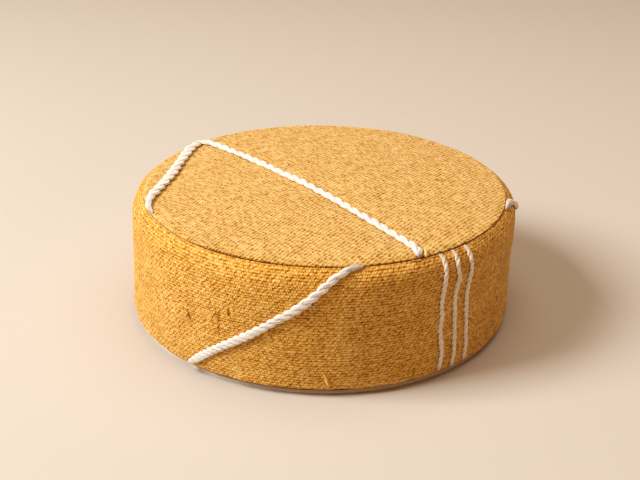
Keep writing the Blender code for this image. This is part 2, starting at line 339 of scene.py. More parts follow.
def woven_wool(name, slant, gap_turn, gap_stretch, shut_share, colours):
    """Handwoven kilim wool: matt, with painted shade in the gaps between rows, and each nub a little
    different.

    The weave is worked out from the UV map in threads, by the formula of the mesh's own relief,
    with its rows made ragged by noise. Gaps open and close along their length, so they show as
    dashes: gap_turn turns them, gap_stretch shortens them and shut_share is how far they close.
    The colours run from painted shade in the gaps, through shaded and lit yarn, to painted highlights on the
    raised fibres. Single fibres are too fine to show, so the grain is drawn about 2 mm across, as tufts of
    them.
    """
    material, tree, shader = new_material(name, 0.93, 0.35, linear("#FFE6BE"))
    uv = add_node(tree, "ShaderNodeUVMap", {}, uv_map="cloth")
    threads = add_node(tree, "ShaderNodeVectorMath", {0: uv, 3: 1 / THREAD}, operation="SCALE")
    place = threads
    for scale, reach in ((0.9, 0.4), (0.3, 0.7)):
        ragged = add_node(tree, "ShaderNodeTexNoise", {"Vector": threads, "Scale": scale, "Detail": 1.0},
                          output="Color")
        ragged = add_node(tree, "ShaderNodeVectorMath", {0: ragged, 1: (0.5, 0.5, 0.5)}, operation="SUBTRACT")
        ragged = add_node(tree, "ShaderNodeVectorMath", {0: ragged, 3: reach}, operation="SCALE")
        place = add_node(tree, "ShaderNodeVectorMath", {0: place, 1: ragged}, operation="ADD")
    row = add_node(tree, "ShaderNodeVectorMath", {0: place}, operation="FLOOR")
    half_step = add_node(tree, "ShaderNodeVectorMath", {0: row, 1: (0.0, 0.5, 0.0)}, output="Value",
                         operation="DOT_PRODUCT")
    half_step = add_node(tree, "ShaderNodeCombineXYZ", {0: half_step})
    staggered = add_node(tree, "ShaderNodeVectorMath", {0: place, 1: half_step}, operation="ADD")

    # The weave's height from 0 to 1, as in thread_crowns
    waves = []
    directions = ((staggered, (2, 0, 0)), (place, (0, 2, 0)), (place, (1, -1, 0)), (place, (1, 1, 0)))
    for start, direction in directions:
        turn = add_node(tree, "ShaderNodeVectorMath", {0: start, 1: direction}, output="Value",
                        operation="DOT_PRODUCT")
        turn = add_node(tree, "ShaderNodeMath", {0: turn, 1: math.pi}, operation="MULTIPLY")
        waves.append(add_node(tree, "ShaderNodeMath", {0: turn}, operation="COSINE"))
    nub = add_node(tree, "ShaderNodeMath", {0: waves[0], 1: -0.3, 2: 0.7}, operation="MULTIPLY_ADD")
    rows = add_node(tree, "ShaderNodeMath", {0: waves[1], 1: -0.5, 2: 0.5}, operation="MULTIPLY_ADD")
    rows = add_node(tree, "ShaderNodeMath", {0: rows, 1: 0.6}, operation="POWER")
    rows = add_node(tree, "ShaderNodeMath", {0: rows, 1: nub}, operation="MULTIPLY")
    ridge = add_node(tree, "ShaderNodeMath", {0: waves[2], 1: 0.5, 2: 0.5}, operation="MULTIPLY_ADD")
    ridge = add_node(tree, "ShaderNodeMath", {0: ridge, 1: 0.6}, operation="POWER")
    swell = add_node(tree, "ShaderNodeMath", {0: waves[3], 1: -0.2, 2: 0.8}, operation="MULTIPLY_ADD")
    ridge = add_node(tree, "ShaderNodeMath", {0: ridge, 1: swell}, operation="MULTIPLY")
    height = add_node(tree, "ShaderNodeMix", {0: slant, 2: rows, 3: ridge}, data_type="FLOAT")

    # How deep each place lies, with the gaps partly shut by noise
    along_gap = add_node(tree, "ShaderNodeMapping", {"Vector": place, "Rotation": (0.0, 0.0, gap_turn)})
    along_gap = add_node(tree, "ShaderNodeMapping", {"Vector": along_gap, "Scale": (gap_stretch, 0.95, 1.0)})
    gaps = add_node(tree, "ShaderNodeTexNoise", {"Vector": along_gap, "Scale": 1.0, "Detail": 1.0})
    shut = add_node(tree, "ShaderNodeMapRange", {0: gaps, 1: 0.36, 2: 0.58, 3: 0.0, 4: 1.0},
                    interpolation_type="SMOOTHSTEP")
    depth = add_node(tree, "ShaderNodeMath", {0: 1.0, 1: height}, operation="SUBTRACT")
    open_share = add_node(tree, "ShaderNodeMath", {0: shut, 1: -shut_share, 2: 1.0}, operation="MULTIPLY_ADD")
    depth = add_node(tree, "ShaderNodeMath", {0: depth, 1: open_share}, operation="MULTIPLY")

    # The tone: painted shade that deepens into the gaps, then shares of each nub's own tone, patches 4 cm
    # across, the grain of the fibres and the per-vertex value of the yarn's spin with its painted shade
    cell = add_node(tree, "ShaderNodeVectorMath", {0: staggered}, operation="FLOOR")
    nub_tone = add_node(tree, "ShaderNodeTexWhiteNoise", {"Vector": cell}, noise_dimensions="2D")
    patch = add_node(tree, "ShaderNodeTexNoise", {"Vector": threads, "Scale": 0.1, "Detail": 4.0,
                                                  "Roughness": 0.6})
    grain = add_node(tree, "ShaderNodeTexNoise", {"Vector": threads, "Scale": 2.2, "Detail": 3.0,
                                                  "Roughness": 0.6})
    spin_and_painted_shade = add_node(tree, "ShaderNodeAttribute", {}, output="Fac", attribute_name="spin_and_painted_shade")
    tone = add_node(tree, "ShaderNodeMath", {0: depth, 1: -0.72, 2: 0.75}, operation="MULTIPLY_ADD")
    for part, share in ((nub_tone, 0.16), (patch, 0.35), (grain, 0.4), (spin_and_painted_shade, 0.05)):
        tone = add_node(tree, "ShaderNodeMath", {0: part, 1: share, 2: tone}, operation="MULTIPLY_ADD")
    tone = add_node(tree, "ShaderNodeMapRange", {0: tone, 1: 0.48, 2: 1.25, 3: 0.0, 4: 1.0})
    ramp = tree.nodes.new("ShaderNodeValToRGB")
    ramp.color_ramp.elements[0].color = linear(colours[0])
    ramp.color_ramp.elements[1].color = linear(colours[-1])
    for number, colour in enumerate(colours[1:-1], 1):
        ramp.color_ramp.elements.new(number / (len(colours) - 1)).color = linear(colour)
    tree.links.new(tone, ramp.inputs[0])
    tree.links.new(ramp.outputs[0], shader.inputs["Base Color"])

    # Bump, for what is finer than the mesh's own relief
    rise = add_node(tree, "ShaderNodeMath", {0: grain, 1: 0.7, 2: 1.0}, operation="MULTIPLY_ADD")
    rise = add_node(tree, "ShaderNodeMath", {0: depth, 1: -1.2, 2: rise}, operation="MULTIPLY_ADD")
    bump = add_node(tree, "ShaderNodeBump", {"Strength": 1.0, "Distance": 1.6 * MM, "Height": rise})
    tree.links.new(bump, shader.inputs["Normal"])
    return material


def seam_shade(angle):
    """How much painted shade darkens the seam's groove: about 1 from the front left round to the right.

    A ramp 30 degrees wide leads to -0.3 on either side, where the edges meet and catch the light, painted
    there as lighter colour.
    Soft noise of small reach breaks it up.
    """
    away = np.abs((angle - math.radians(-68) + math.pi) % (2 * math.pi) - math.pi)
    broken = 0.85 + 0.35 * cloud(angle * 40, 0 * angle, 3.0, 1.0, 61, 2 * math.pi * 40)
    return broken * (1.3 * np.clip((math.radians(84) - away) / math.radians(30), 0.0, 1.0) - 0.3)


side_inset, side_height = np.array(SIDE_OUTLINE).T * MM
side_rows = np.stack((OUTER_RADIUS - side_inset, side_height), axis=1)
side_curve = smooth_line(side_rows)
side_run = distance_along(side_curve)


def side_surface(flat):
    """The wall at (distance around, distance up the cloth): the outline turned about the middle."""
    radius = np.interp(flat[..., 1], side_run, side_curve[:, 0])
    height = np.interp(flat[..., 1], side_run, side_curve[:, 1])
    return stuffed(flat[..., 0] / OUTER_RADIUS, radius, height)


def make_side_band():
    """The wall as a grid of two steps a thread, raised by the weave and closed under and over."""
    threads_up = int(round(side_run[-1] / THREAD))
    columns, rows = 2 * SIDE_THREADS_AROUND, 2 * threads_up + 1
    u, v = np.meshgrid(np.arange(columns) / 2, np.arange(rows) / 2)
    edge = np.clip(np.minimum(v, threads_up - v) / 3.0, 0.0, 1.0)
    stray_u, stray_v = wandering(u, v, 11, SIDE_THREADS_AROUND)
    around = 2 * math.pi * OUTER_RADIUS / SIDE_THREADS_AROUND
    up = side_run[-1] / threads_up
    flat = np.stack(((u + stray_u) * around, (v + stray_v * edge) * up), axis=-1)
    relief = cloth_relief(u, v, SIDE_SLANT, SIDE_RELIEF, SIDE_THREADS_AROUND, 21)
    wall = lifted(side_surface, flat, relief * np.clip(edge * 3.0, 0.0, 1.0))
    angle = flat[0, :, 0] / OUTER_RADIUS
    step = [stuffed(angle, radius * MM, height * MM) for radius, height in FOOT_STEP]
    points = np.concatenate((np.array(step), wall))
    faces = ring_faces(len(points), columns)
    whole_u, whole_v = np.meshgrid(np.arange(columns + 1) / 2, np.arange(-len(step), rows) / 2)
    corner_uv = ring_uv(whole_u * THREAD, whole_v * THREAD)
    ends = [list(range(columns))[::-1], list(range((len(points) - 1) * columns, len(points) * columns))]
    corner_uv = np.concatenate((corner_uv, np.zeros((2 * columns, 2))))
    # Deeper, more orange colours than the top's, though it is the same wool: painted shade for the wall,
    # which mostly stands in shade.
    colours = ("#883F02", "#BF8224", "#E7B756", "#FAD998")
    cloth = woven_wool("side_band_kilim_wool", 0.35, 0.0, 0.7, 0.45, colours)
    spin_and_painted_shade = nub_spin(u, v, 21, SIDE_THREADS_AROUND) + 2.0 * np.clip(relief / MM - 1.0, 0.0, 1.0)
    # The marks darken the cloth: its own dark specks and slits, and painted shade in its creases.
    marks = [(math.radians(row[0]) * OUTER_RADIUS, row[1] * MM, *row[2:]) for row in SIDE_MARKS]
    spin_and_painted_shade -= cloth_marks(flat, marks)
    # Painted shade in the seam's groove along the top rows, deepest from the front left round to the right.
    spin_and_painted_shade -= SEAM_PAINTED_SHADE * seam_shade(angle) * np.clip(v - threads_up + 1.0, 0.0, 1.0)
    # Painted shade along the lowest rows, for the dark gap where the cloth overhangs the canvas rim.
    spin_and_painted_shade -= FOOT_PAINTED_SHADE * np.clip(2.3 - v, 0.0, 1.0)
    return new_piece("side_band_cloth", points, faces.tolist() + ends, corner_uv, cloth, spin_and_painted_shade)


side_band = make_side_band()
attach(side_band, "root")
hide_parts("side_band")

# Top panel
# A disc of the same wool, sewn in under a rounded edge and pushed up by the stuffing into a low
# crown. Its threads run 8 degrees off the front line, and their slant shows as fine diagonals.
TOP_PANEL_RADIUS = 280 * MM
CROWN_RISE = 12.5 * MM
EDGE_ROLL_RISE = 2 * MM
EDGE_ROLL_WIDTH = 9 * MM
EDGE_DROP = 80.0
TOP_GRID_RADIUS = 276.5 * MM
TOP_EDGE_INSETS = np.array((2.2, 1.1, 0.35)) * MM
TOP_WEAVE_TURN = math.radians(8.0)
TOP_SLANT = 0.65
TOP_RELIEF = 0.8 * MM
TOP_MARKS = (
    # x mm, y mm, half width mm, half length mm, lean degrees, depth
    (175.7, 9.1, 1.9, 3.0, 20, 24.0),
    (82.8, -71.7, 1.8, 2.4, 0, 20.0),
)
TOP_UNDER = (
    # radius mm, height mm, from the panel's edge in under it
    (280.0, 193.0),
    (278.6, 191.8),
)


def crown_height(radius):
    """The top's height at a radius: a parabola for the crown plus an elliptical rounded edge.

    Past the edge it drops with the square of the distance, for the trim that lies over the seam.
    """
    inward = np.clip((TOP_PANEL_RADIUS - radius) / EDGE_ROLL_WIDTH, 0.0, 1.0)
    roll = EDGE_ROLL_RISE * np.sqrt(1 - (1 - inward)**2)
    drop = EDGE_DROP * np.clip(radius - TOP_PANEL_RADIUS, 0.0, None)**2
    return SEAM_HEIGHT + roll + CROWN_RISE * (1 - (radius / TOP_PANEL_RADIUS)**2) - drop


def top_surface(flat):
    """The top at (x, y) from its middle."""
    radius = np.hypot(flat[..., 0], flat[..., 1])
    angle = np.arctan2(flat[..., 1], flat[..., 0])
    return stuffed(angle, radius, crown_height(radius))


def make_top_panel():
    """The top as a grid along its threads, cut to a disc, with rings for its edge and underside.

    Grid points beyond the disc are drawn in to its rim. The rim's points, in order of angle,
    are repeated at each ring's radius and height.
    """
    step = THREAD / 2
    reach = int(TOP_GRID_RADIUS / step) + 8
    u, v = np.meshgrid(np.arange(-reach, reach + 1) / 2, np.arange(-reach, reach + 1) / 2)
    stray_u, stray_v = wandering(u, v, 31)
    turn = np.array(((math.cos(TOP_WEAVE_TURN), math.sin(TOP_WEAVE_TURN)),
                     (-math.sin(TOP_WEAVE_TURN), math.cos(TOP_WEAVE_TURN))))
    flat = np.stack((u + stray_u, v + stray_v), axis=-1) * THREAD @ turn
    radius = np.linalg.norm(flat, axis=-1)
    inside = radius < TOP_GRID_RADIUS - 0.35 * step
    touched = inside[:-1, :-1] | inside[1:, :-1] | inside[:-1, 1:] | inside[1:, 1:]
    index = np.arange(u.size).reshape(u.shape)
    quads = np.stack((index[:-1, :-1], index[:-1, 1:], index[1:, 1:], index[1:, :-1]), axis=-1)[touched]
    used = np.zeros(u.size, dtype=bool)
    used[quads.ravel()] = True
    drawn_in = used & ~inside.ravel()
    flat, radius = flat.reshape(-1, 2), radius.ravel()
    rim = np.where(drawn_in, TOP_GRID_RADIUS / radius, 1.0)[:, None]
    moved = flat * rim
    thread_uv = np.stack((u.ravel(), v.ravel()), axis=1) + (moved - flat) @ turn.T / THREAD
    relief = cloth_relief(thread_uv[:, 0], thread_uv[:, 1], TOP_SLANT, TOP_RELIEF, None, 41)
    points = lifted(top_surface, moved, relief)[used]
    renumber = np.cumsum(used) - 1
    quads = renumber[quads]

    border = np.flatnonzero(drawn_in)
    border = border[np.argsort(np.arctan2(moved[border, 1], moved[border, 0]))]
    angle = np.arctan2(moved[border, 1], moved[border, 0])
    outward = np.stack((np.cos(angle), np.sin(angle)), axis=1)
    edge_radius = TOP_PANEL_RADIUS - TOP_EDGE_INSETS
    ring_places = list(zip(edge_radius, crown_height(edge_radius))) + [(r * MM, z * MM) for r, z in TOP_UNDER]
    run, last = 0.0, np.array((TOP_GRID_RADIUS, crown_height(TOP_GRID_RADIUS)))
    rings, ring_threads = [], []
    for ring_radius, ring_height in ring_places:
        run += math.hypot(ring_radius - last[0], ring_height - last[1])
        last = (ring_radius, ring_height)
        threads = thread_uv[border] + outward @ turn.T * run / THREAD
        bulge = cloth_relief(threads[:, 0], threads[:, 1], TOP_SLANT, TOP_RELIEF, None, 41)
        bulge = np.where(ring_height > SEAM_HEIGHT, bulge, 0.0)
        rings.append(stuffed(angle, ring_radius + 0.5 * bulge, ring_height + 0.5 * bulge))
        ring_threads.append(threads)
    count = len(border)
    new_index = len(points) + np.arange(len(rings) * count).reshape(-1, count)
    ring_index = np.concatenate((renumber[border][None, :], new_index))
    after = np.roll(ring_index, -1, axis=1)
    skirt = np.stack((ring_index[:-1], ring_index[1:], after[1:], after[:-1]), axis=-1).reshape(-1, 4)
    all_threads = np.concatenate((thread_uv[used], *ring_threads))
    points = np.concatenate((points, *rings))
    faces = np.concatenate((quads, skirt))
    corner_uv = np.concatenate((all_threads[faces.ravel()] * THREAD, np.zeros((count, 2))))
    under = ring_index[-1][::-1].tolist()
    # Paler colours than the wall's, though it is the same wool: painted light for the top, which faces the
    # window.
    colours = ("#925C18", "#C69A46", "#DAB268", "#EACE90")
    cloth = woven_wool("top_panel_kilim_wool", 0.75, math.pi / 4, 0.3, 0.65, colours)
    spin_and_painted_shade = nub_spin(all_threads[:, 0], all_threads[:, 1], 41)
    outwards = np.linalg.norm(moved[used], axis=1) - TOP_GRID_RADIUS
    from_edge = np.clip(outwards / EDGE_ROLL_WIDTH + 1.0, 0.0, 1.0)
    place = np.arctan2(moved[used][:, 1], moved[used][:, 0])
    # Painted shade on the top's rolled edge next to the seam, where it turns down away from the light.
    spin_and_painted_shade[:len(place)] -= 2.5 * from_edge * seam_shade(place)
    spin_and_painted_shade[:len(place)] -= cloth_marks(moved[used], [(row[0] * MM, row[1] * MM, *row[2:]) for row in TOP_MARKS])
    # Painted shade in the seam's groove on the rings under the top's edge.
    spin_and_painted_shade[-4 * count:] -= SEAM_PAINTED_SHADE * np.tile(seam_shade(angle), 4)
    return new_piece("top_panel_cloth", points, faces.tolist() + [under], corner_uv, cloth, spin_and_painted_shade)


top_panel = make_top_panel()
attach(top_panel, "root")
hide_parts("top_panel")

# Canvas base
# A disc of grey-brown cotton canvas with its edge turned up into a flat rim, stitched to the foot
# of the side band. Only the rim shows, as a thin line at the floor.
RIM_OUTLINE = (
    # radius mm, height mm
    (288.4, 0.0),
    (289.1, 0.3),
    (289.4, 1.2),
    (289.0, 2.0),
    (288.2, 2.5),
    (288.0, 3.3),
    (287.9, 4.2),
    (287.6, 5.4),
    (286.8, 6.3),
    (284.9, 6.9),
    (283.0, 7.0),
    (281.8, 6.8),
    (281.5, 3.0),
)
RIM_STEPS_AROUND = 720
RIM_WAVE = 0.45 * MM
CANVAS_THREAD = 1.1 * MM
PAINTED_HIGHLIGHT_BELOW = np.array((1.6, 2.8)) * MM
PAINTED_SHADE_ABOVE = np.array((4.1, 5.1)) * MM


def cotton_canvas(name):
    """Cotton canvas in taupe: matt and close-woven, with a painted highlight along the rim's lower edge and
    painted shade along its top, under the overhang of the side band's foot.

    Real canvas threads are 0.5 mm apart, too fine to show, so they are drawn twice as coarse.
    """
    material, tree, shader = new_material(name, 0.88, 0.1, linear("#E8DCCB"))
    uv = add_node(tree, "ShaderNodeUVMap", {}, uv_map="cloth")
    threads = add_node(tree, "ShaderNodeVectorMath", {0: uv, 3: 1 / CANVAS_THREAD}, operation="SCALE")
    weave = add_node(tree, "ShaderNodeTexChecker", {"Vector": threads, "Scale": 1.0}, output="Fac")
    blotch = add_node(tree, "ShaderNodeTexNoise", {"Vector": threads, "Scale": 0.12, "Detail": 5.0})
    place = add_node(tree, "ShaderNodeTexCoord", {}, output="Object")
    height = add_node(tree, "ShaderNodeSeparateXYZ", {0: place}, output=2)
    # Painted highlight on the bulge of the rim's lower edge.
    painted_highlight = add_node(tree, "ShaderNodeMapRange", {0: height, 1: PAINTED_HIGHLIGHT_BELOW[0], 2: PAINTED_HIGHLIGHT_BELOW[1],
                                                 3: 1.0, 4: 0.0})
    # Painted shade along the rim's top, in the gap under the side band's foot.
    painted_shade = add_node(tree, "ShaderNodeMapRange", {0: height, 1: PAINTED_SHADE_ABOVE[0], 2: PAINTED_SHADE_ABOVE[1],
                                                 3: 0.0, 4: 1.0})
    cloth = linear("#DACEC1")
    for share, tint in ((blotch, "#EADFD3"), (painted_highlight, "#FAF2E6"), (painted_shade, "#4A3626")):
        cloth = add_node(tree, "ShaderNodeMix", {0: share, 6: cloth, 7: linear(tint)}, output=2,
                         data_type="RGBA")
    tree.links.new(cloth, shader.inputs["Base Color"])
    bump = add_node(tree, "ShaderNodeBump", {"Strength": 0.5, "Distance": 0.3 * MM, "Height": weave})
    tree.links.new(bump, shader.inputs["Normal"])
    return material


def make_base_panel():
    """The rim's outline turned about the middle, waved by half a millimetre, with flat ends."""
    radius, height = np.array(RIM_OUTLINE).T * MM
    angle = np.linspace(0.0, 2 * math.pi, RIM_STEPS_AROUND + 1)
    wave = RIM_WAVE * cloud(angle * 60, 0 * angle, 3.0, 1.0, 51, 2 * math.pi * 60)
    share = np.sin(math.pi * np.clip(height / (8 * MM), 0, 1))[:, None]
    points = stuffed(angle[None, :-1], radius[:, None] + wave[None, :-1] * share, height[:, None])
    faces = ring_faces(len(radius), RIM_STEPS_AROUND)
    run = distance_along(np.stack((radius, height), axis=1))
    corner_uv = ring_uv(*np.meshgrid(angle * radius[0], run))
    count = len(radius) * RIM_STEPS_AROUND
    ends = [list(range(RIM_STEPS_AROUND))[::-1], list(range(count - RIM_STEPS_AROUND, count))]
    flat_ends = points[[0, -1], :, :2].copy()
    flat_ends[0] = flat_ends[0][::-1]
    corner_uv = np.concatenate((corner_uv, flat_ends.reshape(-1, 2)))
    canvas = cotton_canvas("taupe_cotton_canvas")
    return new_piece("base_canvas", points, faces.tolist() + ends, corner_uv, canvas)


base_panel = make_base_panel()
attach(base_panel, "root")
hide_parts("base_panel")

# Plaits
# Two thick strands of soft white wool laid round each other, 14 mm wide, and sewn down from below.
# One runs over the top as a long V, one slants across the front and one across the back.
TOP_BRAID_ROUTE = (
    # x mm, y mm, both from the top panel's middle
    (127.8, -249.0),
    (126.9, -241.5),
    (123.8, -231.5),
    (114.8, -216.0),
    (88.8, -181.0),
    (56.4, -138.6),
    (22.4, -93.7),
    (-19.4, -41.2),
    (-69.6, 22.1),
    (-109.6, 74.0),
    (-137.1, 108.4),
    (-165.7, 143.0),
    (-180.3, 159.4),
    (-194.0, 168.6),
    (-206.4, 167.6),
    (-214.6, 156.2),
    (-221.0, 137.1),
    (-226.7, 110.0),
    (-232.7, 75.8),
    (-238.4, 40.5),
    (-248.6, -7.9),
    (-256.5, -38.0),
    (-261.0, -56.5),
    (-263.0, -74.2),
    (-262.0, -90.0),
    (-258.0, -104.0),
    (-253.4, -114.0),
)
FRONT_BRAID_ROUTE = (
    # angle degrees, height mm
    (-79.4, 192.4),
    (-81.2, 192.1),
    (-83.2, 190.6),
    (-85.2, 187.0),
    (-87.6, 181.0),
    (-90.7, 168.3),
    (-94.6, 149.2),
    (-98.6, 133.0),
    (-102.7, 118.0),
    (-107.0, 100.8),
    (-111.4, 85.0),
    (-116.2, 68.5),
    (-121.3, 49.6),
    (-125.8, 31.0),
    (-130.1, 13.6),
)
BACK_BRAID_ROUTE = (
    # angle degrees, height mm
    (-16.2, 192.3),
    (-13.8, 192.3),
    (-11.4, 191.6),
    (-9.6, 188.9),
    (-8.2, 185.0),
    (-6.4, 179.5),
    (-3.6, 173.0),
    (-0.2, 165.0),
    (4.0, 153.0),
    (8.6, 136.0),
    (13.4, 113.0),
    (18.4, 86.0),
    (23.2, 58.0),
    (27.6, 33.0),
    (31.2, 13.0),
)
PLAIT = {"strands": 2, "period": 42 * MM, "swing": 2.7 * MM, "rise": 0.9 * MM,
         "half_width": 4.1 * MM, "half_height": 2.9 * MM, "middle": 3.6 * MM, "step": 1.2 * MM,
         "sides": 24, "yarns": 5, "twist": 110 * MM, "groove": 0.16}
FIBRE_WIDTH = 0.667 * MM
FIBRE_LENGTH = 4.17 * MM
WOOL_PATCH = 11.1 * MM
STRAND_SHIFT = 310 * MM


def strand_points(line, run, left, surface, kind, tighten, ends, widen, which):
    """One strand's rings.

    kind has its sizes, ends the lengths over which its start and end taper, and widen the share
    by which it lies broader past 60 to 70 percent of the route.

    Along the route its middle swings sideways with minus the sine of its phase and rises with
    the cosine. The phase gains speed along the route by the share called tighten. Near each end
    the two strands close up over twice the length of the taper, and end in one soft point.
    Round the middle, the ring is an ellipse with one groove between each two yarns.
    """
    turns = run / kind["period"] * (1 + tighten * run / run[-1])
    phase = 2 * math.pi * (turns + which / kind["strands"])
    to_end = np.clip(np.minimum(run / ends[0], (run[-1] - run) / ends[1]), 0.0, 1.0)
    taper = 0.2 + 0.8 * np.sqrt(1 - (1 - to_end)**2)
    uneven = 1 + 0.08 * np.sin(2 * math.pi * run / (2.3 * kind["period"]) + which)
    apart = np.clip(np.minimum(run / ends[0], (run[-1] - run) / ends[1]) / 2, 0.0, 1.0)**1.5
    broad = 1 + widen * np.clip(10 * run / run[-1] - 6, 0.0, 1.0) * apart
    swing = -kind["swing"] * broad * np.sin(phase) * apart
    rise = kind["middle"] * taper + kind["rise"] * np.cos(phase) * apart
    flat = line + left * swing[:, None]
    middle = lifted(surface, flat, rise)
    normal = lifted(surface, flat, rise + MM) - middle
    ahead = np.gradient(middle, axis=0)
    ahead /= np.linalg.norm(ahead, axis=1, keepdims=True)
    normal -= ahead * np.sum(normal * ahead, axis=1, keepdims=True)
    normal /= np.linalg.norm(normal, axis=1, keepdims=True)
    across = np.cross(ahead, normal)
    turn = np.linspace(0.0, 2 * math.pi, kind["sides"], endpoint=False)[None, :]
    twist = 2 * math.pi * run[:, None] / kind["twist"]
    yarn = 1 - kind["groove"] * np.abs(np.cos(0.5 * (kind["yarns"] * turn + twist)))**4
    size = (taper * uneven)[:, None] * yarn
    sideways = (kind["half_width"] * broad[:, None] * size * np.cos(turn))[..., None] * across[:, None, :]
    upward = (kind["half_height"] * size * np.sin(turn))[..., None] * normal[:, None, :]
    return middle[:, None, :] + sideways + upward


def make_trim(name, surface, route, kind, material, ends, tighten=0.0, widen=0.0):
    """A plait or cord: its strands' rings along the route, each closed with a flat face at its ends.

    Each strand's fibres start STRAND_SHIFT further on in the wool's pattern.
    """
    curve = smooth_line(route)
    reach = distance_along(curve)
    run = np.linspace(0.0, reach[-1], int(round(reach[-1] / kind["step"])) + 1)
    line = np.stack([np.interp(run, reach, column) for column in curve.T], axis=1)
    ahead = np.gradient(line, run, axis=0)
    ahead /= np.linalg.norm(ahead, axis=1, keepdims=True)
    left = np.stack((-ahead[:, 1], ahead[:, 0]), axis=1)
    sides, count = kind["sides"], len(run)
    points, faces, corner_uv = [], [], []
    around = np.linspace(0.0, 2 * math.pi * kind["half_width"], sides + 1)
    for which in range(kind["strands"]):
        rings = strand_points(line, run, left, surface, kind, tighten, ends, widen, which)
        start = which * count * sides
        faces += ring_faces(count, sides, start).tolist()
        last = start + (count - 1) * sides
        faces += [list(range(start, start + sides))[::-1], list(range(last, last + sides))]
        corner_uv += [ring_uv(*np.meshgrid(around, run + which * STRAND_SHIFT)), np.zeros((2 * sides, 2))]
        points.append(rings.reshape(-1, 3))
    return new_piece(name, np.concatenate(points), faces, np.concatenate(corner_uv), material)


over_seam = np.array((279.5, 277.0, 273.0, 268.0, 260.0)) * MM
over_seam = np.stack((over_seam, crown_height(over_seam)), axis=1)
seat_curve = smooth_line(np.concatenate((side_rows[:-2], over_seam)))
seat_run = distance_along(seat_curve)


def seat_surface(flat):
    """What side trim lies on at (distance around, distance up): the wall, then over the seam."""
    radius = np.interp(flat[..., 1], seat_run, seat_curve[:, 0])
    height = np.interp(flat[..., 1], seat_run, seat_curve[:, 1])
    return stuffed(flat[..., 0] / OUTER_RADIUS, radius, height)


def side_route(rows):
    """A route of (angle, height) rows as (distance around, distance up the cloth)."""
    angle, height = np.array(rows).T
    up = np.interp(height * MM, seat_curve[:, 1], seat_run)
    return np.stack((np.radians(angle) * OUTER_RADIUS, up), axis=1)


def spun_wool(name, shade, body, fibre):
    """Soft-spun wool yarn: fine slanting fibres, a woolly sheen, and light that passes into it.

    Real fibres are 0.03 mm thick, too fine to show, so they are drawn as locks 0.7 mm across.
    """
    material, tree, shader = new_material(name, 0.85, 0.3, linear("#FFFFFF"))
    uv = add_node(tree, "ShaderNodeUVMap", {}, uv_map="cloth")
    slanted = add_node(tree, "ShaderNodeMapping", {"Vector": uv, "Rotation": (0.0, 0.0, 0.5),
                                                   "Scale": (1 / FIBRE_WIDTH, 1 / FIBRE_LENGTH, 1.0)})
    fibres = add_node(tree, "ShaderNodeTexNoise", {"Vector": slanted, "Scale": 1.0, "Detail": 3.0})
    patch = add_node(tree, "ShaderNodeTexNoise", {"Vector": uv, "Scale": 1 / WOOL_PATCH, "Detail": 3.0})
    tone = add_node(tree, "ShaderNodeMath", {0: fibres, 1: patch}, operation="ADD")
    tone = add_node(tree, "ShaderNodeMapRange", {0: tone, 1: 0.7, 2: 1.25, 3: 0.0, 4: 1.0})
    shader.inputs["Subsurface Weight"].default_value = 0.45
    shader.inputs["Subsurface Scale"].default_value = 7 * MM
    shader.inputs["Subsurface Radius"].default_value = (1.0, 0.9, 0.8)
    ramp = tree.nodes.new("ShaderNodeValToRGB")
    ramp.color_ramp.elements[0].color = linear(shade)
    ramp.color_ramp.elements[1].color = linear(fibre)
    ramp.color_ramp.elements.new(0.4).color = linear(body)
    tree.links.new(tone, ramp.inputs[0])
    tree.links.new(ramp.outputs[0], shader.inputs["Base Color"])
    bump = add_node(tree, "ShaderNodeBump", {"Strength": 0.7, "Distance": 0.5 * MM, "Height": fibres})
    tree.links.new(bump, shader.inputs["Normal"])
    return material


plait_wool = spun_wool("undyed_plait_wool", "#CBC1B5", "#EBE5DD", "#F7F4EE")
plait_routes = {
    # surface, route, tapers at its two ends, how much tighter the turns become, how much broader
    "top_braid": (top_surface, np.array(TOP_BRAID_ROUTE) * MM, (4 * MM, 36 * MM), 0.0, 0.28),
    "side_braid_front": (seat_surface, side_route(FRONT_BRAID_ROUTE), (30 * MM, 15 * MM), 0.65, 0.0),
    "side_braid_back": (seat_surface, side_route(BACK_BRAID_ROUTE), (24 * MM, 8 * MM), 0.3, 0.0),
}
trims = []
for node_name, (surface, route, ends, tighten, widen) in plait_routes.items():
    plait = make_trim(node_name + "_plait", surface, route, PLAIT, plait_wool, ends, tighten, widen)
    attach(plait, "root")
    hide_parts(node_name)
    trims.append(plait)

